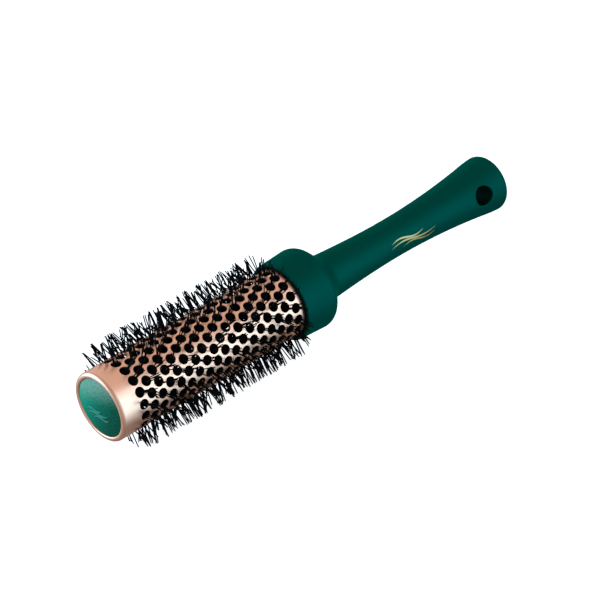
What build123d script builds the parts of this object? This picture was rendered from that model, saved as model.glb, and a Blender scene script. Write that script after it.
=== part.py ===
from build123d import *
import os
from math import cos, pi, radians, sin

# A thermal round brush: a vented metal barrel full of bristles on a flared handle.
# Lengths are in millimetres. While it is being built, X runs along the brush's axis from the
# front of the barrel's rolled lip (X = 0) to the handle's end, and Z is up. The finished parts
# are moved so that the origin is the centre of the hanging hole, on the axis.

# ---- Driving dimensions ----

BARREL_R = 17.5          # a 35 mm barrel
BARREL_WALL = 1.0
LIP_WIDTH = 2.7          # radial width of the rolled front lip
LIP_DEPTH = 2.1          # how far the lip's curl runs back inside the tube
LIP_OUTER_ROUNDING = 1.6
LIP_INNER_ROUNDING = 0.7
MOUTH_X = 112.1          # where the barrel enters the handle's collar
BARREL_TAIL_X = 124.6    # end of the tube, hidden in the collar

RING_COUNT = 18
TUFTS_PER_RING = 18
FIRST_RING_X = 12.8
RING_PITCH = 5.6
VENT_R = 2.55
FIRST_TUFT_ANGLE = 6.0   # degrees about +X, from +Y towards +Z
BRISTLE_TIP_R = 27.5

COLLAR_MOUTH_R = 20.0
COLLAR_MOUTH_ROUNDING = 0.8
SHOULDER = (130.3, 21.05)                        # (x, radius) of the collar's rear corner
SHOULDER_ROUNDING = 6.0
NECK_CORNER = (138.9, 11.8)                      # where the shoulder's slope meets the neck
NECK_ROUNDING = 8.0
GRIP_START = (147.7, 11.2)
GRIP_WAIST = (187.2, 9.78)
GRIP_FLARE = ((222.2, 11.3), (245.7, 13.85))     # (x, radius) along the widening rear half
GRIP_DIRECTIONS = ((1, -0.065), (1, 0.03))       # of the grip's line at its two ends
HANDLE_END_X = 257.8
HANDLE_END_R = 14.75
HANDLE_END_ROUNDING = 3.2
HANG_HOLE_X = 241.5
HANG_HOLE_R = 5.0
HANG_HOLE_ROUNDING = 0.5

FOIL_X = 193.5           # middle of the foil mark
FOIL_DROP = 1.5          # how far the foil mark sits below the axis
FOIL_THICKNESS = 0.12
FOIL_MOTIF = {"length": 31, "spacing": 2.0, "swing": 1.1, "width": 0.9}
CAP_MOTIF = {"length": 17, "spacing": 2.1, "swing": 1.0, "width": 1.1}
CAP_MOTIF_CENTRE = (3.0, -3.6)                   # (y, z) on the cap's face
SIDE_LOCK_SHARE = 0.72   # length of a motif's outer locks, as a share of its middle one
LOCK_SLANT = 0.12        # shift from one lock to the next, as a share of the motif's length

WIRE_R = 1.0
WIRE_LEAD = 2 * RING_PITCH
RUNNING_GAP = 0.05       # radial gap between parts that slip into each other
CUT_MARGIN = 1.0         # how far a cutting shape reaches past the wall that it cuts

# ---- Worked-out dimensions ----

TUFT_STEP = 360 / TUFTS_PER_RING
BARREL_BORE_R = BARREL_R - BARREL_WALL
LIP_BORE_R = BARREL_R - LIP_WIDTH

CAP_FACE_X = 0.6                             # rim of the cap's face, sunk behind the lip
CAP_DOME = 0.25                              # how far the face's middle stands out from its rim
CAP_FACE_GAP = 0.2                           # radial gap between the face and the lip's bore
CAP_RELIEF_X = 0.08                          # top of the raised motif, just below the lip's front
CAP_RELIEF_DEPTH = 1.0                       # from the motif's top to its root inside the plate
CAP_FLANGE_X = LIP_DEPTH + RUNNING_GAP       # front of the flange, behind the lip's curl
CAP_FLANGE_THICKNESS = 1.3
CAP_PLATE_BACK_X = CAP_FLANGE_X + CAP_FLANGE_THICKNESS
CAP_SKIRT_X = 9.0
CAP_SKIRT_WALL = 1.3
CAP_SOCKET_WALL = 1.5

CORE_HELIX_R = WIRE_R + RUNNING_GAP          # the two wires lie side by side around the axis
CORE_R = CORE_HELIX_R + WIRE_R
CORE_BORE_R = CORE_R + RUNNING_GAP
CORE_START_X = 4.0
CORE_END_X = 140.7

FERRULE_R = 2.95
FERRULE_LENGTH = 4.5
FERRULE_SEAT_R = FERRULE_R + RUNNING_GAP

BRISTLE_HUB_R = 3.2
BRISTLE_HUB_WIDTH = 3.0
TUFT_ROOT_R = 0.4
TUFT_TIP_R = 1.0

CUP_R = 18.8                                 # bore of the handle's collar
HUB_FLANGE_THICKNESS = 1.05
HUB_FLANGE_X = BARREL_TAIL_X + RUNNING_GAP   # front of the flange, behind the barrel's tail
CUP_FLOOR_X = HUB_FLANGE_X + HUB_FLANGE_THICKNESS
END_GAP = 1.0                                # left free past the end of a sleeve or spigot
RING_TAIL_X = CUP_FLOOR_X - END_GAP

HUB_FRONT_X = MOUTH_X - 1.0                  # just past the last vents
SPIGOT_R = 8.0
SPIGOT_PAST_CORE = 8.0                       # how far the spigot runs on past the core's tail
SPIGOT_END_X = CORE_END_X + SPIGOT_PAST_CORE
SOCKET_END_X = SPIGOT_END_X + END_GAP
TAIL_SEAT_X = CORE_END_X - FERRULE_LENGTH

PIN_R = 0.9
PIN_INSET = 6.1                              # how far inside the collar's mouth the pins sit
PIN_X = MOUTH_X + PIN_INSET
PIN_DEPTH_R = 12.0                           # radius at which a pin's inner end stops
PIN_ANGLES = (90, 210, 330)


# ---- Helpers ----

def turned(points):
    """A solid turned about the X axis from a closed outline of (x, radius) points."""
    outline = Polyline(*points, close=True)
    return revolve(make_face(outline), axis=Axis.X)


def radial(angle):
    """A location on the axis whose Z points outwards at an angle about +X from +Y."""
    return Location((0, 0, 0), (angle, 0, 0)) * Location((0, 0, 0), (-90, 0, 0))


def radial_rods(radius, inner, outer, x, angles):
    """Round rods that point outwards from the axis, from one radius to another."""
    rod = Cylinder(radius, outer - inner, align=(Align.CENTER, Align.CENTER, Align.MIN))
    return [Pos(x, 0, 0) * radial(angle) * Pos(0, 0, inner) * rod for angle in angles]


def tuft_angles(ring):
    """Angles of one ring's tufts: every other ring is turned by half a step."""
    start = FIRST_TUFT_ANGLE + (ring % 2) * TUFT_STEP / 2
    return [start + TUFT_STEP * k for k in range(TUFTS_PER_RING)]


def ring_x(ring):
    """Place of a ring of vents along the axis."""
    return FIRST_RING_X + RING_PITCH * ring


def wave_stroke(length, swing, width):
    """A flat S-shaped lock of hair, pointed at both ends, lying along local X."""
    steps = 12
    upper = []
    lower = []
    for k in range(steps + 1):
        t = k / steps
        x = length * (t - 0.5)
        middle = swing * sin(2 * pi * t)
        half = width / 2 * sin(pi * t)
        upper.append((x, middle + half))
        lower.append((x, middle - half))
    outline = Spline(*upper) + Spline(*lower)
    return make_face(outline)


def hair_motif(length, spacing, swing, width):
    """Three locks of hair, one above the other; the middle one is the longest."""
    locks = []
    for row, share in ((-1, SIDE_LOCK_SHARE), (0, 1.0), (1, SIDE_LOCK_SHARE)):
        offset = -row * LOCK_SLANT * length
        locks.append(Pos(offset, row * spacing) * wave_stroke(share * length, swing, width))
    return locks


def save(part, name):
    """Move a finished part to the hanging hole's origin and write it."""
    export_step(Pos(-HANG_HOLE_X, 0, 0) * part, f"parts/{name}.step")


# ---- Barrel ----

def make_barrel():
    """Drawn tube with a rolled front lip, vent holes and three pin holes near its tail."""
    curl_bore_r = LIP_BORE_R + BARREL_WALL
    tube = turned([
        (0, LIP_BORE_R),
        (0, BARREL_R),
        (BARREL_TAIL_X, BARREL_R),
        (BARREL_TAIL_X, BARREL_BORE_R),
        (BARREL_WALL, BARREL_BORE_R),
        (BARREL_WALL, curl_bore_r),
        (LIP_DEPTH, curl_bore_r),
        (LIP_DEPTH, LIP_BORE_R),
    ])
    for place, rounding in ((0, LIP_INNER_ROUNDING), (-1, LIP_OUTER_ROUNDING)):
        lip_edges = tube.edges().group_by(Axis.X)[0].sort_by(SortBy.RADIUS)
        tube = fillet(lip_edges[place], rounding)
    cut_from = BARREL_BORE_R - CUT_MARGIN
    cut_to = BARREL_R + CUT_MARGIN
    vents = []
    for ring in range(RING_COUNT):
        vents += radial_rods(VENT_R, cut_from, cut_to, ring_x(ring), tuft_angles(ring))
    pin_holes = radial_rods(PIN_R + RUNNING_GAP, cut_from, cut_to, PIN_X, PIN_ANGLES)
    return tube - vents - pin_holes


def make_tip_cap():
    """Disc that shows in the lip, a flange behind the curl, a skirt and a socket for the core."""
    face_r = LIP_BORE_R - CAP_FACE_GAP
    crown_x = CAP_FACE_X - CAP_DOME
    dome_r = (face_r ** 2 + CAP_DOME ** 2) / (2 * CAP_DOME)
    flange_r = BARREL_BORE_R - RUNNING_GAP
    skirt_bore_r = flange_r - CAP_SKIRT_WALL
    socket_r = FERRULE_SEAT_R + CAP_SOCKET_WALL
    socket_end_x = CAP_PLATE_BACK_X + FERRULE_LENGTH
    cap = turned([
        (crown_x, 0),
        (crown_x, face_r),
        (CAP_FLANGE_X, face_r),
        (CAP_FLANGE_X, flange_r),
        (CAP_SKIRT_X, flange_r),
        (CAP_SKIRT_X, skirt_bore_r),
        (CAP_PLATE_BACK_X, skirt_bore_r),
        (CAP_PLATE_BACK_X, socket_r),
        (socket_end_x, socket_r),
        (socket_end_x, FERRULE_SEAT_R),
        (CAP_PLATE_BACK_X, FERRULE_SEAT_R),
        (CAP_PLATE_BACK_X, 0),
    ])
    cap &= Pos(crown_x + dome_r, 0, 0) * Sphere(dome_r)
    relief_plane = Plane(origin=(CAP_RELIEF_X, *CAP_MOTIF_CENTRE), x_dir=(0, -1, 0), z_dir=(-1, 0, 0))
    for lock in hair_motif(**CAP_MOTIF):
        cap += extrude(relief_plane * lock, amount=-CAP_RELIEF_DEPTH)
    return cap


# ---- Bristle core ----

def make_core_wire(start_angle):
    """One of the two wires that are twisted together and clamp the bristles."""
    path = Helix(pitch=WIRE_LEAD, height=CORE_END_X - CORE_START_X, radius=CORE_HELIX_R)
    section = Plane(origin=path @ 0, z_dir=path % 0) * Circle(WIRE_R)
    wire = sweep(section, path=path, is_frenet=True)
    along_x = Location((CORE_START_X, 0, 0), (0, 90, 0))
    return along_x * Rot(0, 0, start_angle) * wire


def make_core_ferrule(front_x):
    """Crimped sleeve on one end of the twisted wires."""
    return turned([
        (front_x, CORE_BORE_R),
        (front_x, FERRULE_R),
        (front_x + FERRULE_LENGTH, FERRULE_R),
        (front_x + FERRULE_LENGTH, CORE_BORE_R),
    ])


def make_bristle_ring(ring):
    """One row of tufts and the band where the core wires clamp it.

    Each tuft is a solid cone that widens outwards, as the loose bristles fan out.
    """
    x = ring_x(ring)
    band = turned([
        (x - BRISTLE_HUB_WIDTH / 2, CORE_BORE_R),
        (x - BRISTLE_HUB_WIDTH / 2, BRISTLE_HUB_R),
        (x + BRISTLE_HUB_WIDTH / 2, BRISTLE_HUB_R),
        (x + BRISTLE_HUB_WIDTH / 2, CORE_BORE_R),
    ])
    root = (CORE_BORE_R + BRISTLE_HUB_R) / 2
    tuft = Cone(
        TUFT_ROOT_R,
        TUFT_TIP_R,
        BRISTLE_TIP_R - root,
        align=(Align.CENTER, Align.CENTER, Align.MIN),
    )
    tufts = [Pos(x, 0, 0) * radial(angle) * Pos(0, 0, root) * tuft for angle in tuft_angles(ring)]
    return band + tufts


# ---- Joint between barrel and handle ----

def make_rear_hub():
    """Plug in the barrel's tail, with a spigot for the handle and a bore for the core."""
    plug_r = BARREL_BORE_R - RUNNING_GAP
    pin_hole_r = PIN_R + RUNNING_GAP
    hub = turned([
        (HUB_FRONT_X, CORE_BORE_R),
        (HUB_FRONT_X, plug_r),
        (HUB_FLANGE_X, plug_r),
        (HUB_FLANGE_X, BARREL_R),
        (CUP_FLOOR_X, BARREL_R),
        (CUP_FLOOR_X, SPIGOT_R),
        (SPIGOT_END_X, SPIGOT_R),
        (SPIGOT_END_X, FERRULE_SEAT_R),
        (TAIL_SEAT_X, FERRULE_SEAT_R),
        (TAIL_SEAT_X, CORE_BORE_R),
    ])
    return hub - radial_rods(pin_hole_r, PIN_DEPTH_R, BARREL_R + CUT_MARGIN, PIN_X, PIN_ANGLES)


def make_retaining_pins():
    """Three short pins through the barrel's wall into the hub."""
    return Compound(radial_rods(PIN_R, PIN_DEPTH_R, BARREL_R, PIN_X, PIN_ANGLES))


def make_insulating_ring():
    """Sleeve between barrel and collar, flush with the collar's mouth."""
    bore_r = BARREL_R + RUNNING_GAP
    sleeve_r = CUP_R - RUNNING_GAP
    return turned([
        (MOUTH_X, bore_r),
        (MOUTH_X, sleeve_r),
        (RING_TAIL_X, sleeve_r),
        (RING_TAIL_X, bore_r),
    ])


# ---- Handle ----

def grown(point, grow):
    """An (x, radius) point moved outwards."""
    x, radius = point
    return (x, radius + grow)


def handle_outline(grow=0.0):
    """Outer line of the handle from collar mouth to end; grow moves it outwards."""
    collar = FilletPolyline(
        grown((MOUTH_X, COLLAR_MOUTH_R), grow),
        grown(SHOULDER, grow),
        grown(NECK_CORNER, grow),
        grown(GRIP_START, grow),
        radius=[SHOULDER_ROUNDING, NECK_ROUNDING],
    )
    end_edge_x = HANDLE_END_X - HANDLE_END_ROUNDING
    grip = Spline(
        grown(GRIP_START, grow),
        grown(GRIP_WAIST, grow),
        *[grown(point, grow) for point in GRIP_FLARE],
        (end_edge_x, HANDLE_END_R + grow),
        tangents=GRIP_DIRECTIONS,
    )
    arc_middle = (end_edge_x, HANDLE_END_R + grow - HANDLE_END_ROUNDING)
    end_edge = CenterArc(arc_middle, HANDLE_END_ROUNDING, 90, -90)
    return collar + grip + end_edge


def handle_body(grow=0.0):
    """The handle as a turned solid, before its cup, socket and hanging hole are cut."""
    end_flat_r = HANDLE_END_R + grow - HANDLE_END_ROUNDING
    outline = handle_outline(grow)
    closing = Polyline(
        (HANDLE_END_X, end_flat_r),
        (HANDLE_END_X, 0),
        (MOUTH_X, 0),
        (MOUTH_X, COLLAR_MOUTH_R + grow),
    )
    return revolve(make_face(outline + closing), axis=Axis.X)


def make_handle():
    """Collar, neck, waisted grip and flared end, with a hanging hole across it along Y."""
    body = handle_body()
    mouth_edge = body.edges().sort_by(Axis.X)[0]
    body = fillet(mouth_edge, COLLAR_MOUTH_ROUNDING)
    body -= turned([
        (MOUTH_X - CUT_MARGIN, 0),
        (MOUTH_X - CUT_MARGIN, CUP_R),
        (CUP_FLOOR_X, CUP_R),
        (CUP_FLOOR_X, SPIGOT_R + RUNNING_GAP),
        (SOCKET_END_X, SPIGOT_R + RUNNING_GAP),
        (SOCKET_END_X, 0),
    ])
    body -= Pos(HANG_HOLE_X, 0, 0) * Rot(90, 0, 0) * Cylinder(HANG_HOLE_R, 4 * HANDLE_END_R)
    hole_edges = body.edges().filter_by(
        lambda edge: abs(edge.center().X - HANG_HOLE_X) < HANG_HOLE_R
        and abs(edge.center().Y) > HANG_HOLE_R
    )
    return fillet(hole_edges, HANG_HOLE_ROUNDING)


def make_foil_mark():
    """Thin gold foil on the front of the grip, curved with it."""
    skin = handle_body(FOIL_THICKNESS) - handle_body()
    front_plane = Plane(origin=(FOIL_X, 0, -FOIL_DROP), x_dir=(1, 0, 0), z_dir=(0, -1, 0))
    locks = []
    for lock in hair_motif(**FOIL_MOTIF):
        cutter = extrude(front_plane * lock, amount=2 * BARREL_R)
        locks += (skin & cutter).solids()
    return Compound(locks)


# ---- All parts ----

os.makedirs("parts", exist_ok=True)

save(make_barrel(), "barrel_tube")
save(make_tip_cap(), "tip_cap")
save(make_core_wire(0), "core_wire_a")
save(make_core_wire(180), "core_wire_b")
save(make_core_ferrule(CAP_PLATE_BACK_X), "core_tip_ferrule")
save(make_core_ferrule(TAIL_SEAT_X), "core_tail_ferrule")
for ring_number in range(RING_COUNT):
    save(make_bristle_ring(ring_number), f"bristle_ring_{ring_number + 1:02d}")
save(make_rear_hub(), "rear_hub")
save(make_retaining_pins(), "retaining_pins")
save(make_insulating_ring(), "insulating_ring")
save(make_handle(), "handle")
save(make_foil_mark(), "foil_mark")
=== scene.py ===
import math
import random

import bpy
from mathutils import Matrix, Vector


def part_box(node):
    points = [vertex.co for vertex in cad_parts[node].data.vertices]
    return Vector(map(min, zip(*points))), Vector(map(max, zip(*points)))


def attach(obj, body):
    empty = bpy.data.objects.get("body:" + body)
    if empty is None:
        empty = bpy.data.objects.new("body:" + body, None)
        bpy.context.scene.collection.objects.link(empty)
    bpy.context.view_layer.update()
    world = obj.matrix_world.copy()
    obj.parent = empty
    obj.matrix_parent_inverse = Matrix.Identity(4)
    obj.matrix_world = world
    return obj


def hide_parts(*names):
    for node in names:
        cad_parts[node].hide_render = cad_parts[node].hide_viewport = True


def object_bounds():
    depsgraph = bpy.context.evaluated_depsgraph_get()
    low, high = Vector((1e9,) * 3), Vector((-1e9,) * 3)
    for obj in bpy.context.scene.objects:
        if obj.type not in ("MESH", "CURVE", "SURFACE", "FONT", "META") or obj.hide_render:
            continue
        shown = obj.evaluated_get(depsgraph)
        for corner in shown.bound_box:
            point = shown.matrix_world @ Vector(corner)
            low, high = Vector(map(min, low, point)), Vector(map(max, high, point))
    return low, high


# Looks of a vented thermal round brush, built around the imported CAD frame.
# Everything is in metres. The origin is the centre of the handle's hanging hole, X runs from the
# barrel's tip to the handle's end, Y along the hanging hole, and Z is up.

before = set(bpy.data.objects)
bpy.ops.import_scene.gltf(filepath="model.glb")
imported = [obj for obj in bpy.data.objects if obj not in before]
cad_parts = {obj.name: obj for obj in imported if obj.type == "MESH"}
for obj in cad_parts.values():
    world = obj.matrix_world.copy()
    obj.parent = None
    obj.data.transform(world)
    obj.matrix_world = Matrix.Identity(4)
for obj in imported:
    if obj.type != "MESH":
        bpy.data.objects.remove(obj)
cad_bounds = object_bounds()

MM = 0.001
FULL_TURN = 2 * math.pi

# ---- Sizes read from the frame ----

BARREL_LOW, BARREL_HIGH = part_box("barrel_tube")
TIP_X = BARREL_LOW[0]
BARREL_R = BARREL_HIGH[2]
RING_COUNT = sum(name.startswith("bristle_ring_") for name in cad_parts)
BRISTLE_TIP_R = cad_bounds[1][2]
TUFTS_PER_RING = 18
TUFT_STEP = FULL_TURN / TUFTS_PER_RING
FIRST_TUFT_ANGLE = math.radians(6)      # about +X, from +Y towards +Z
LIP_DEPTH = 2.1 * MM                    # how far the barrel's rolled lip runs back
HANG_HOLE_R = 5.0 * MM
MOTIF_FRONT = TIP_X + 0.15 * MM         # the cap's raised motif lies in front of this


# ---- Node helpers ----

def new_material(name):
    """An empty node material: its tree, its Principled shader and object-space coordinates."""
    material = bpy.data.materials.new(name)
    material.use_nodes = True
    tree = material.node_tree
    shader = tree.nodes["Principled BSDF"]
    coordinates = tree.nodes.new("ShaderNodeTexCoord").outputs["Object"]
    return material, tree, shader, coordinates


def node(tree, kind, inputs=None, **settings):
    """A new node with its settings, and with each input linked or set to a value."""
    made = tree.nodes.new(kind)
    for key, value in settings.items():
        setattr(made, key, value)
    for key, value in (inputs or {}).items():
        if isinstance(value, bpy.types.NodeSocket):
            tree.links.new(value, made.inputs[key])
        else:
            made.inputs[key].default_value = value
    return made


def scaled(tree, coordinates, scale):
    """Coordinates stretched by a factor on each axis."""
    return node(tree, "ShaderNodeMapping", {"Vector": coordinates, "Scale": scale}).outputs[0]


def noise(tree, coordinates, scale, detail=4.0, roughness=0.55):
    """Noise from 0 to 1."""
    inputs = {"Vector": coordinates, "Scale": scale, "Detail": detail, "Roughness": roughness}
    return node(tree, "ShaderNodeTexNoise", inputs).outputs["Fac"]


def remap(tree, value, low, high, out_low, out_high, smooth=False):
    """A value moved from one range to another and held inside it."""
    inputs = {0: value, 1: low, 2: high, 3: out_low, 4: out_high}
    interpolation = "SMOOTHSTEP" if smooth else "LINEAR"
    made = node(tree, "ShaderNodeMapRange", inputs, interpolation_type=interpolation)
    return made.outputs[0]


def math_node(tree, operation, first, second=0.0):
    """The result of one operation on sockets or numbers."""
    return node(tree, "ShaderNodeMath", {0: first, 1: second}, operation=operation).outputs[0]


def distance_from(tree, value, centre):
    """How far a value is from a constant."""
    return math_node(tree, "ABSOLUTE", math_node(tree, "SUBTRACT", value, centre))


def blend_colours(tree, factor, first, second):
    """first where factor is 0, second where it is 1. Colours are (r, g, b) or sockets."""
    made = node(tree, "ShaderNodeMix", data_type="RGBA")
    for key, kind, value in (("Factor", "VALUE", factor), ("A", "RGBA", first), ("B", "RGBA", second)):
        socket = next(s for s in made.inputs if s.name == key and s.type == kind)
        if isinstance(value, bpy.types.NodeSocket):
            tree.links.new(value, socket)
        elif kind == "VALUE":
            socket.default_value = value
        else:
            socket.default_value = (*value, 1.0)
    return next(s for s in made.outputs if s.type == "RGBA")


def bump(tree, height, distance, strength=1.0):
    """A bumped normal; distance is the height of the bumps in metres."""
    inputs = {"Height": height, "Distance": distance, "Strength": strength}
    return node(tree, "ShaderNodeBump", inputs).outputs[0]


def split(tree, coordinates):
    """The X, Y and Z outputs of the coordinates."""
    return node(tree, "ShaderNodeSeparateXYZ", {0: coordinates}).outputs


def axis_distance(tree, coordinates):
    """Distance from the brush's axis."""
    parts = split(tree, coordinates)
    square_y = math_node(tree, "MULTIPLY", parts["Y"], parts["Y"])
    square_z = math_node(tree, "MULTIPLY", parts["Z"], parts["Z"])
    return math_node(tree, "SQRT", math_node(tree, "ADD", square_y, square_z))


# ---- Materials ----

# Linear RGB colours; pairs are the darkest and the lightest tone of a material.
ROSE_GOLD = ((0.79, 0.41, 0.275), (0.87, 0.45, 0.305))
# painted shade: near black for the inside of the tube, where shade falls
INNER_PAINTED_SHADE = (0.012, 0.010, 0.010)
# painted light: the cap's dark tone is painted shade low down, and its light tone is painted light high up
CAP_GREEN_SHADE_TO_LIGHT = ((0.001, 0.057, 0.031), (0.007, 0.34, 0.20))
# painted sheen: a pale colour painted high on the cap for the light it reflects
CAP_PAINTED_SHEEN = (0.31, 0.43, 0.34)
CAP_MOTIF_HIGHLIGHT = (0.13, 0.43, 0.34)
CAP_SHINE = (0.1, 1.0, 0.8, 1.0)
HANDLE_GREEN = ((0.0, 0.048, 0.034), (0.0, 0.054, 0.038))
# painted shade: darker colour for the wall of the hanging hole
HANDLE_HOLE_SHADE = (0.003, 0.022, 0.013)
HANDLE_SHINE = (0.0, 1.0, 0.8, 1.0)
BLACK_NYLON = ((0.002, 0.002, 0.002), (0.006, 0.005, 0.005))
GOLD_FOIL = ((0.38, 0.26, 0.09), (0.50, 0.36, 0.16))
CORE_STEEL = ((0.20, 0.18, 0.17), (0.36, 0.33, 0.31))
CORE_BRASS = ((0.62, 0.45, 0.18), (0.80, 0.62, 0.32))

MATT_SPECULAR = 0.02                    # nearly no clear gloss on top of the colour
HANDLE_METALLIC = 0.45                  # the coating's pearl shines in its own green
MOTIF_HIGHLIGHT_SHARE = 0.40                      # how far the raised cap motif goes to its painted highlight colour
CAP_SLANT = 20 * MM                     # Y + Z from minus this to this goes from dark to light
CAP_PAINTED_SHEEN_HEIGHT = 14 * MM              # height above the axis at which the painted sheen is fullest


def rose_gold():
    """Satin rose-gold anodised aluminium, turned; the inside of the tube is painted near black as painted
    shade.
    """
    material, tree, shader, at = new_material("rose_gold_metal")
    brushing = noise(tree, scaled(tree, at, (1.0, 0.02, 0.02)), 9000, detail=2)
    clouds = noise(tree, at, 90, detail=3)
    skin = remap(tree, axis_distance(tree, at), BARREL_R - 0.7 * MM, BARREL_R - 0.3 * MM, 0, 1)
    lip = remap(tree, split(tree, at)["X"], TIP_X + LIP_DEPTH, TIP_X + LIP_DEPTH + 0.5 * MM, 1, 0)
    outside = math_node(tree, "MAXIMUM", skin, lip)
    metal_colour = blend_colours(tree, clouds, *ROSE_GOLD)
    # painted shade: the inside of the tube and its vents gets a near-black colour in place of the shade
    # there
    colour = blend_colours(tree, outside, INNER_PAINTED_SHADE, metal_colour)
    roughness = remap(tree, brushing, 0.2, 0.8, 0.30, 0.38)
    tree.links.new(colour, shader.inputs["Base Color"])
    tree.links.new(outside, shader.inputs["Metallic"])
    tree.links.new(roughness, shader.inputs["Roughness"])
    tree.links.new(bump(tree, brushing, 0.004 * MM), shader.inputs["Normal"])
    shader.inputs["Specular IOR Level"].default_value = MATT_SPECULAR
    return material


def cap_green_with_painted_light():
    """Green moulding of the tip cap with a fine pebble grain. Light from above is painted in: the colour is
    lighter towards its top, and a painted pearly sheen is added high up.
    """
    material, tree, shader, at = new_material("cap_green_painted_light")
    parts = split(tree, at)
    slant = math_node(tree, "ADD", parts["Y"], parts["Z"])
    # painted light: the tone runs from painted shade at the bottom of the cap to painted light at its top
    painted_light_lift = math_node(tree, "POWER", remap(tree, slant, -CAP_SLANT, CAP_SLANT, 0, 1), 1.7)
    mottle = noise(tree, at, 1200, detail=2, roughness=0.7)
    painted_light_and_mottle = math_node(tree, "ADD", painted_light_lift, remap(tree, mottle, 0.3, 0.7, -0.15, 0.15))
    face = blend_colours(tree, painted_light_and_mottle, *CAP_GREEN_SHADE_TO_LIGHT)
    # painted sheen: a pearly highlight painted onto the upper part of the cap
    high = remap(tree, parts["Z"], 0, CAP_PAINTED_SHEEN_HEIGHT, 0, 1, smooth=True)
    painted_sheen = math_node(tree, "MULTIPLY", high, remap(tree, mottle, 0.35, 0.65, 0.25, 0.95))
    face_with_painted_sheen = blend_colours(tree, painted_sheen, face, CAP_PAINTED_SHEEN)
    # painted highlight: the raised motif is lightened where its relief would catch the light
    raised_highlight = remap(tree, parts["X"], MOTIF_FRONT, MOTIF_FRONT + 0.1 * MM, MOTIF_HIGHLIGHT_SHARE, 0)
    colour = blend_colours(tree, raised_highlight, face_with_painted_sheen, CAP_MOTIF_HIGHLIGHT)
    tree.links.new(colour, shader.inputs["Base Color"])
    tree.links.new(remap(tree, mottle, 0.3, 0.7, 0.30, 0.46), shader.inputs["Roughness"])
    tree.links.new(bump(tree, mottle, 0.12 * MM, 0.6), shader.inputs["Normal"])
    shader.inputs["Specular IOR Level"].default_value = MATT_SPECULAR
    shader.inputs["Specular Tint"].default_value = CAP_SHINE
    return material


def soft_touch_green():
    """Dark green pearly soft-touch coating with very fine grain; the hanging hole's wall is painted darker,
    as painted shade.
    """
    material, tree, shader, at = new_material("soft_touch_green")
    grain = noise(tree, at, 6000, detail=2)
    clouds = noise(tree, at, 60, detail=4)
    coating = blend_colours(tree, clouds, *HANDLE_GREEN)
    parts = split(tree, at)
    across = node(tree, "ShaderNodeCombineXYZ", {"X": parts["X"], "Z": parts["Z"]}).outputs[0]
    from_hole = node(tree, "ShaderNodeVectorMath", {0: across}, operation="LENGTH").outputs["Value"]
    # painted shade: the wall of the hanging hole is darkened for the shade inside the bore
    hole_shade = remap(tree, from_hole, HANG_HOLE_R + 0.1 * MM, HANG_HOLE_R + 0.4 * MM, 1, 0)
    colour = blend_colours(tree, hole_shade, coating, HANDLE_HOLE_SHADE)
    tree.links.new(colour, shader.inputs["Base Color"])
    tree.links.new(remap(tree, clouds, 0.3, 0.7, 0.46, 0.52), shader.inputs["Roughness"])
    tree.links.new(bump(tree, grain, 0.01 * MM, 0.6), shader.inputs["Normal"])
    shader.inputs["Metallic"].default_value = HANDLE_METALLIC
    shader.inputs["Specular IOR Level"].default_value = 0.0
    shader.inputs["Specular Tint"].default_value = HANDLE_SHINE
    return material


def black_plastic(name, roughness_low, roughness_high):
    """Moulded black nylon with a slight grain."""
    material, tree, shader, at = new_material(name)
    grain = noise(tree, at, 2500, detail=3)
    colour = blend_colours(tree, grain, *BLACK_NYLON)
    tree.links.new(colour, shader.inputs["Base Color"])
    tree.links.new(remap(tree, grain, 0.3, 0.7, roughness_low, roughness_high), shader.inputs["Roughness"])
    tree.links.new(bump(tree, grain, 0.01 * MM, 0.5), shader.inputs["Normal"])
    shader.inputs["Specular IOR Level"].default_value = MATT_SPECULAR
    return material


def metal(name, tones, roughness_low, roughness_high):
    """Plain metal for foil, wires, ferrules and pins."""
    material, tree, shader, at = new_material(name)
    clouds = noise(tree, at, 1200, detail=3)
    tree.links.new(blend_colours(tree, clouds, *tones), shader.inputs["Base Color"])
    tree.links.new(remap(tree, clouds, 0.3, 0.7, roughness_low, roughness_high), shader.inputs["Roughness"])
    tree.links.new(bump(tree, clouds, 0.01 * MM, 0.4), shader.inputs["Normal"])
    shader.inputs["Metallic"].default_value = 1.0
    return material


def paint_cad_nodes():
    """Gives each CAD node that stays in view its finished material."""
    green = soft_touch_green()
    gold = metal("gold_foil", GOLD_FOIL, 0.40, 0.55)
    steel = metal("galvanised_steel", CORE_STEEL, 0.40, 0.55)
    brass = metal("crimped_brass", CORE_BRASS, 0.25, 0.40)
    nylon = black_plastic("black_nylon", 0.42, 0.55)
    finishes = {
        "barrel_tube": rose_gold(),
        "tip_cap": cap_green_with_painted_light(),
        "handle": green,
        "foil_mark": gold,
        "insulating_ring": nylon,
        "rear_hub": nylon,
        "core_wire_a": steel,
        "core_wire_b": steel,
        "retaining_pins": steel,
        "core_tip_ferrule": brass,
        "core_tail_ferrule": brass,
    }
    for name, material in finishes.items():
        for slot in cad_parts[name].material_slots:
            slot.material = material


# ---- Bristles ----

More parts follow.
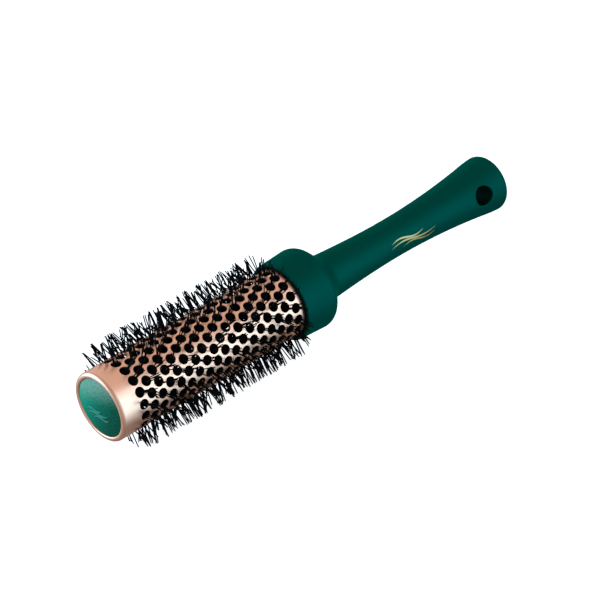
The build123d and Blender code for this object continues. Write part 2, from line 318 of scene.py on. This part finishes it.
FILAMENT_SIDES = 6
FILAMENT_R = 0.28 * MM
FILAMENT_TIP_R = 0.24 * MM
FILAMENT_STEPS = 5                      # straight steps of the bent part outside the barrel
FILAMENT_ROOT_R = 4.0 * MM              # distance from the axis at which filaments are clamped
FILAMENTS_PER_TUFT = (3, 4, 4, 4)       # drawn with equal chances
STOPPED_PER_ROW = 110                   # filaments that missed a vent and stay inside
STOPPED_DEPTH = 1.8 * MM                # how far below the barrel's outside they end
STOPPED_SLOPE_ALONG = 0.15              # spread of their slopes along the brush's axis
STOPPED_SLOPE_SIDEWAYS = 0.05
VENT_DEPTH = 2.0 * MM                   # how far below the outside a tuft has its width
TUFT_SPREAD = 1.3 * MM                  # greatest radius of a tuft in its vent
LONGEST_TRIM = 1.2 * MM                 # how much shorter the shortest filaments are
TUFT_LEAN = 0.15                        # spread of the slopes of whole tufts
LAST_ROW_LEAN = -0.15                   # the row beside the collar leans away from it
SCATTER = 0.08                          # spread of the slopes inside a tuft
STRAY_SCATTER = 0.25                    # the same for the few stray filaments
STRAY_CHANCE = 0.08
BEND = 2.0                              # spread of sideways offset over length squared, in 1/m
STEEPEST_ALONG = 0.75                   # greatest slope along the brush's axis
STEEPEST_SIDEWAYS = 0.60
FIRST_SEED = 100


def held(slope, steepest):
    """A slope held between -steepest and steepest."""
    return max(-steepest, min(steepest, slope))


def filament_path(rng, lean_x, lean_t):
    """Points (along the axis, sideways, outwards) of one filament, from its clamp to its tip.

    It runs straight from the clamp to its place in the vent hole and bends a little outside.
    """
    spread = TUFT_SPREAD * math.sqrt(rng.random())
    around = FULL_TURN * rng.random()
    hole_x = spread * math.cos(around)
    hole_t = spread * math.sin(around)
    scatter = STRAY_SCATTER if rng.random() < STRAY_CHANCE else SCATTER
    slope_x = held(lean_x + rng.gauss(0, scatter), STEEPEST_ALONG)
    slope_t = held(lean_t + rng.gauss(0, scatter), STEEPEST_SIDEWAYS)
    bend_x = rng.gauss(0, BEND)
    bend_t = rng.gauss(0, BEND)
    reach = BRISTLE_TIP_R - rng.random() ** 2 * LONGEST_TRIM - FILAMENT_TIP_R
    outside = reach - BARREL_R
    tip_t = hole_t + slope_t * outside + bend_t * outside ** 2
    tip_height = math.sqrt(max(reach ** 2 - tip_t ** 2, 0)) - BARREL_R
    points = [
        (hole_x * 0.3, hole_t * 0.15, FILAMENT_ROOT_R),
        (hole_x * 0.9, hole_t * 0.9, BARREL_R - VENT_DEPTH),
    ]
    for step in range(FILAMENT_STEPS + 1):
        out = tip_height * step / FILAMENT_STEPS
        along = hole_x + slope_x * out + bend_x * out ** 2
        across = hole_t + slope_t * out + bend_t * out ** 2
        points.append((along, across, BARREL_R + out))
    return points


def stopped_path(rng):
    """A straight filament that missed the vent holes and ends just inside the tube."""
    slope_x = rng.gauss(0, STOPPED_SLOPE_ALONG)
    slope_t = rng.gauss(0, STOPPED_SLOPE_SIDEWAYS)
    points = []
    for height in (FILAMENT_ROOT_R, BARREL_R - STOPPED_DEPTH):
        points.append((slope_x * height, slope_t * height, height))
    return points


def add_filament(vertices, faces, path, to_world):
    """Adds a thin round tube with a rounded tip along the path."""
    places = [to_world @ Vector(point) for point in path]
    start = len(vertices)
    direction = (places[-1] - places[0]).normalized()
    side = direction.cross(Vector((1, 0, 0))).normalized()
    other = direction.cross(side)
    radii = [FILAMENT_R] * (len(places) - 1) + [FILAMENT_TIP_R]
    for place, radius in zip(places, radii):
        for k in range(FILAMENT_SIDES):
            angle = FULL_TURN * k / FILAMENT_SIDES
            vertices.append(place + radius * (math.cos(angle) * side + math.sin(angle) * other))
    for ring in range(len(places) - 1):
        for k in range(FILAMENT_SIDES):
            a = start + ring * FILAMENT_SIDES + k
            b = start + ring * FILAMENT_SIDES + (k + 1) % FILAMENT_SIDES
            faces.append((a, b, b + FILAMENT_SIDES, a + FILAMENT_SIDES))
    last = start + (len(places) - 1) * FILAMENT_SIDES
    vertices.append(places[-1] + direction * FILAMENT_TIP_R)
    for k in range(FILAMENT_SIDES):
        faces.append((last + k, last + (k + 1) % FILAMENT_SIDES, len(vertices) - 1))
    faces.append(tuple(start + k for k in reversed(range(FILAMENT_SIDES))))


def outward_frame(ring_x, angle):
    """Matrix from (along the axis, sideways, outwards) to the world, at an angle about +X."""
    sine = math.sin(angle)
    cosine = math.cos(angle)
    turn = Matrix((
        (1, 0, 0, 0),
        (0, -sine, cosine, 0),
        (0, cosine, sine, 0),
        (0, 0, 0, 1),
    ))
    return Matrix.Translation((ring_x, 0, 0)) @ turn


def make_bristle_row(ring, material):
    """All filaments of one row as one mesh: a small fan in each vent hole and some inside."""
    rng = random.Random(FIRST_SEED + ring)
    low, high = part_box(f"bristle_ring_{ring + 1:02d}")
    ring_x = (low[0] + high[0]) / 2
    vertices = []
    faces = []
    for k in range(TUFTS_PER_RING):
        angle = FIRST_TUFT_ANGLE + TUFT_STEP * (k + (ring % 2) / 2)
        to_world = outward_frame(ring_x, angle)
        lean_x = rng.gauss(LAST_ROW_LEAN if ring == RING_COUNT - 1 else 0, TUFT_LEAN)
        lean_t = rng.gauss(0, TUFT_LEAN)
        for _ in range(rng.choice(FILAMENTS_PER_TUFT)):
            add_filament(vertices, faces, filament_path(rng, lean_x, lean_t), to_world)
    for _ in range(STOPPED_PER_ROW):
        to_world = outward_frame(ring_x, FULL_TURN * rng.random())
        add_filament(vertices, faces, stopped_path(rng), to_world)
    mesh = bpy.data.meshes.new(f"bristles_{ring + 1:02d}")
    mesh.from_pydata(vertices, [], faces)
    mesh.polygons.foreach_set("use_smooth", [True] * len(mesh.polygons))
    mesh.materials.append(material)
    row = bpy.data.objects.new(mesh.name, mesh)
    bpy.context.scene.collection.objects.link(row)
    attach(row, "root")
    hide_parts(f"bristle_ring_{ring + 1:02d}")


# ---- Stage: room, light and camera ----

ROOM_HALF = 4.0                         # half the room's width, and its ceiling's height
FLOOR_GAP = 0.2 * MM                    # between the bristle tips and the floor
ROOM_WHITE = ((0.48, 0.48, 0.48), (0.50, 0.50, 0.50))
ROOM_GLOW = 0.9

# Each patch of light fades out between the two values of its edge.
KEY_SIDE = 0.546                        # X part of the directions towards the key light
KEY_SIDE_EDGE = (0.15, 0.40)            # in X
KEY_ELEVATION = math.radians(-9)
KEY_ELEVATION_EDGE = (0.15, 1.10)       # in radians
KEY_STRENGTH = 2.35
STRIP_STRENGTH = 0.45                   # an even glow above the key, on the same side
FILL_SIDE = -0.05                       # X part of the directions towards the weaker front light
FILL_SIDE_EDGE = (0.30, 0.60)
FILL_SHARE = 0.3                        # its strength as a share of the key's
BACK_LIGHT = (-0.614, 0.675, 0.409)     # direction towards the light behind the tip
BACK_EDGE = (0.74, 0.92)                # cosines of the angle from that direction
BACK_STRENGTH = 2.6
SURROUND_BELOW = 0.28
SURROUND_ABOVE = 0.43
LEFT_EXTRA = 0.08                       # added to the surround on the tip's side
PATCH_COLOUR = (0.55, 1.10, 1.55)       # cool, so that rose gold reflects the patches as white

CAMERA_RIGHT = (0.72290, -0.63703, -0.26760)
CAMERA_UP = (0.42367, 0.10272, 0.89997)
CAMERA_FROM_TIP = (-0.52994, -0.91531, 0.40826)
CAMERA_LENS = 150.0                     # in millimetres, as is the sensor's width
CAMERA_SENSOR = 36.0


def make_room():
    """A white floor just under the bristle tips and plain white walls far away.

    Only the camera sees them, so the light from outside reaches the brush from all round. They
    show on their inner side only, so the brush can be seen from below the floor too.
    """
    half = ROOM_HALF
    floor_height = cad_bounds[0][2] - FLOOR_GAP
    square = [(-half, -half), (half, -half), (half, half), (-half, half)]
    corners = [(x, y, z) for z in (floor_height, half) for x, y in square]
    walls = [(k, k + 4, (k + 1) % 4 + 4, (k + 1) % 4) for k in range(4)]
    mesh = bpy.data.meshes.new("room")
    mesh.from_pydata(corners, [], [(0, 1, 2, 3), (7, 6, 5, 4), *walls])
    room = bpy.data.objects.new("room", mesh)
    bpy.context.scene.collection.objects.link(room)
    material, tree, shader, at = new_material("studio_white")
    tree.links.new(blend_colours(tree, noise(tree, at, 3), *ROOM_WHITE), shader.inputs["Base Color"])
    shader.inputs["Roughness"].default_value = 0.9
    shader.inputs["Specular IOR Level"].default_value = 0.0
    shader.inputs["Emission Color"].default_value = (1, 1, 1, 1)
    shader.inputs["Emission Strength"].default_value = ROOM_GLOW
    behind = tree.nodes.new("ShaderNodeNewGeometry").outputs["Backfacing"]
    clear = tree.nodes.new("ShaderNodeBsdfTransparent").outputs[0]
    one_sided = node(tree, "ShaderNodeMixShader", {0: behind, 1: shader.outputs[0], 2: clear})
    tree.links.new(one_sided.outputs[0], tree.nodes["Material Output"].inputs["Surface"])
    mesh.materials.append(material)
    room.visible_glossy = False
    room.visible_diffuse = False
    room.visible_shadow = False


def make_light():
    """An even surround with wide soft bright patches, like softboxes.

    The key is a tall strip at the front right, with a weaker one beside it at the front. The
    third patch is high up behind the brush's tip.
    """
    world = bpy.data.worlds.new("studio")
    world.use_nodes = True
    tree = world.node_tree
    direction = tree.nodes.new("ShaderNodeTexCoord").outputs["Generated"]
    parts = split(tree, direction)
    level = remap(tree, parts["Z"], -0.9, -0.2, SURROUND_BELOW, SURROUND_ABOVE, smooth=True)
    left_side = remap(tree, parts["X"], -0.7, -0.2, LEFT_EXTRA, 0, smooth=True)
    surround = math_node(tree, "ADD", level, left_side)

    from_key = distance_from(tree, parts["X"], KEY_SIDE)
    from_fill = distance_from(tree, parts["X"], FILL_SIDE)
    right = remap(tree, from_key, *KEY_SIDE_EDGE, 1, 0, smooth=True)
    front = remap(tree, from_fill, *FILL_SIDE_EDGE, FILL_SHARE, 0, smooth=True)
    key_width = math_node(tree, "MAXIMUM", right, front)
    forwards = math_node(tree, "MULTIPLY", parts["Y"], -1.0)
    elevation = math_node(tree, "ARCTAN2", parts["Z"], forwards)
    from_middle = distance_from(tree, elevation, KEY_ELEVATION)
    key_height = remap(tree, from_middle, *KEY_ELEVATION_EDGE, KEY_STRENGTH, 0, smooth=True)
    key = math_node(tree, "MULTIPLY", key_width, key_height)

    strip = remap(tree, parts["Z"], -0.2, 0.4, 0, STRIP_STRENGTH, smooth=True)
    dim = math_node(tree, "ADD", surround, math_node(tree, "MULTIPLY", right, strip))

    facing = node(tree, "ShaderNodeVectorMath", {0: direction, 1: BACK_LIGHT}, operation="DOT_PRODUCT")
    back = remap(tree, facing.outputs["Value"], *BACK_EDGE, 0, BACK_STRENGTH, smooth=True)
    patches = math_node(tree, "ADD", key, back)
    strength = math_node(tree, "ADD", dim, patches)
    patch_share = math_node(tree, "DIVIDE", patches, strength)
    colour = blend_colours(tree, patch_share, (1, 1, 1), PATCH_COLOUR)
    background = tree.nodes["Background"]
    tree.links.new(strength, background.inputs["Strength"])
    tree.links.new(colour, background.inputs["Color"])
    bpy.context.scene.world = world


def make_camera():
    """A long lens that looks at the barrel's tip from the front left, a little from above."""
    lens = bpy.data.cameras.new("camera")
    lens.sensor_width = CAMERA_SENSOR
    lens.lens = CAMERA_LENS
    camera = bpy.data.objects.new("camera", lens)
    right = Vector(CAMERA_RIGHT)
    up = Vector(CAMERA_UP)
    back = right.cross(up)
    place = Matrix((right, up, back)).transposed().to_4x4()
    place.translation = Vector((TIP_X, 0, 0)) + Vector(CAMERA_FROM_TIP)
    camera.matrix_world = place
    bpy.context.scene.collection.objects.link(camera)
    bpy.context.scene.camera = camera


# ---- Scene ----

make_camera()
make_light()
make_room()
paint_cad_nodes()
bristle_material = black_plastic("bristle_nylon", 0.42, 0.55)
for ring_number in range(RING_COUNT):
    make_bristle_row(ring_number, bristle_material)
bpy.context.scene.view_settings.view_transform = "Standard"
